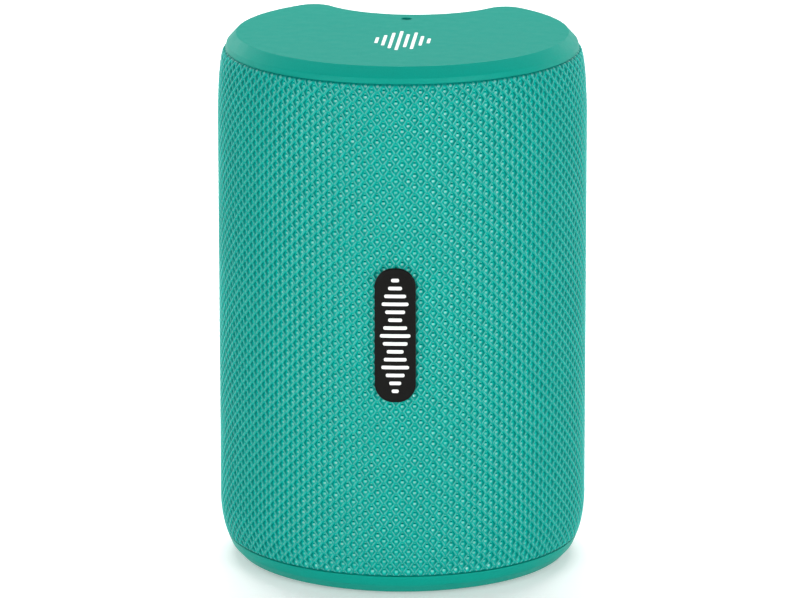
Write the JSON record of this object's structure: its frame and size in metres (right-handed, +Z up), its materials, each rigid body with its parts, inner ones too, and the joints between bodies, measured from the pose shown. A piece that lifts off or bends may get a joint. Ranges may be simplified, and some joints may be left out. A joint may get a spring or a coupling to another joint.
{
  "type": "portable bluetooth speaker",
  "caption": "Upright portable speaker: fabric-wrapped round front, scooped back with buttons and a port flap, smooth plastic top and base.",
  "frame": {"origin": "on the axis of the round front, at the underside of the foot pad", "axes": "+Z up, -Y towards the badge and the driver (the front), +Y towards the scooped back with the buttons, +X to the right as seen from the front"},
  "size_m": [0.076, 0.0692, 0.1109],
  "materials": {
    "teal_plastic": "satin, very fine grain",
    "teal_fabric": "stretched open air-mesh knit",
    "teal_rubber": "matt silicone",
    "badge": "soft gloss black with white bars",
    "black_plastic": "moulded",
    "black_rubber": "matt",
    "steel": "zinc plated",
    "ferrite": "sintered",
    "cone_paper": "pressed paper pulp, black",
    "connector_plastic": "moulded nylon",
    "spider_cloth": "resin-dipped cloth",
    "copper": "enamelled winding",
    "circuit_board": "green solder mask",
    "cell_wrap": "shrink sleeve",
    "light_pipe": "clear moulded plastic",
    "red_wire": "insulated wire",
    "black_wire": "insulated wire"
  },
  "bodies": {
    "body": {"top_cap": "teal_plastic", "cap_seal": "black_rubber", "base_cap": "teal_plastic", "foot_pad": "teal_rubber", "base_screw_1": "steel", "base_screw_2": "steel", "base_screw_3": "steel", "base_screw_4": "steel", "grille_frame": "black_plastic", "fabric_sleeve": "teal_fabric", "badge": "badge", "back_panel": "teal_plastic", "mic_boot": "black_rubber", "microphone": "steel", "status_light_pipe": "light_pipe", "front_baffle": "black_plastic", "driver_basket": "steel", "driver_gasket": "black_rubber", "driver_magnet": "ferrite", "driver_top_plate": "steel", "driver_yoke": "steel", "driver_surround": "black_rubber", "driver_spider": "spider_cloth", "driver_screw_1": "steel", "driver_screw_2": "steel", "driver_screw_3": "steel", "driver_screw_4": "steel", "radiator_frame": "black_plastic", "radiator_surround": "black_rubber", "battery_cell": "cell_wrap", "battery_cradle": "black_plastic", "battery_connector": "connector_plastic", "battery_lead_pos": "red_wire", "battery_lead_neg": "black_wire", "speaker_lead_pos": "red_wire", "speaker_lead_neg": "black_wire", "main_board": "circuit_board", "amplifier_chip": "black_plastic", "bluetooth_module": "steel", "capacitor": "black_plastic", "board_screw_1": "steel", "board_screw_2": "steel", "usb_socket": "steel", "aux_jack": "black_plastic", "switch_power": "black_plastic", "switch_volume_up": "black_plastic", "switch_play": "black_plastic", "switch_volume_down": "black_plastic", "switch_pair": "black_plastic"},
    "power_button": {"button_power": "teal_rubber"},
    "volume_up_button": {"button_volume_up": "teal_rubber"},
    "play_button": {"button_play": "teal_rubber"},
    "volume_down_button": {"button_volume_down": "teal_rubber"},
    "pair_button": {"button_pair": "teal_rubber"},
    "flap": {"port_flap": "teal_rubber"},
    "cone": {"driver_cone": "cone_paper", "dust_cap": "cone_paper", "voice_coil": "copper"},
    "radiator": {"radiator_plate": "steel"}
  },
  "joints": [
    {"name": "power_press", "type": "slide", "parent": "body", "child": "power_button", "axis": [0, -1, 0], "range_m": [0, 0.0005], "stiffness_N_per_m": 1500},
    {"name": "volume_up_press", "type": "slide", "parent": "body", "child": "volume_up_button", "axis": [0, -1, 0], "range_m": [0, 0.0005], "stiffness_N_per_m": 1500},
    {"name": "play_press", "type": "slide", "parent": "body", "child": "play_button", "axis": [0, -1, 0], "range_m": [0, 0.0005], "stiffness_N_per_m": 1500},
    {"name": "volume_down_press", "type": "slide", "parent": "body", "child": "volume_down_button", "axis": [0, -1, 0], "range_m": [0, 0.0005], "stiffness_N_per_m": 1500},
    {"name": "pair_press", "type": "slide", "parent": "body", "child": "pair_button", "axis": [0, -1, 0], "range_m": [0, 0.0005], "stiffness_N_per_m": 1500},
    {"name": "flap_hinge", "type": "hinge", "parent": "body", "child": "flap", "pos_m": [0, 0.01985, 0.0326], "axis": [1, 0, 0], "range_deg": [0, 100]},
    {"name": "cone_travel", "type": "slide", "parent": "body", "child": "cone", "axis": [0, -1, 0], "range_m": [-0.0015, 0.0015], "stiffness_N_per_m": 1200, "deforming": ["driver_surround", "driver_spider"]},
    {"name": "radiator_travel", "type": "slide", "parent": "body", "child": "radiator", "axis": [0, -1, 0], "range_m": [-0.002, 0.002], "stiffness_N_per_m": 800, "deforming": ["radiator_surround"]}
  ]
}
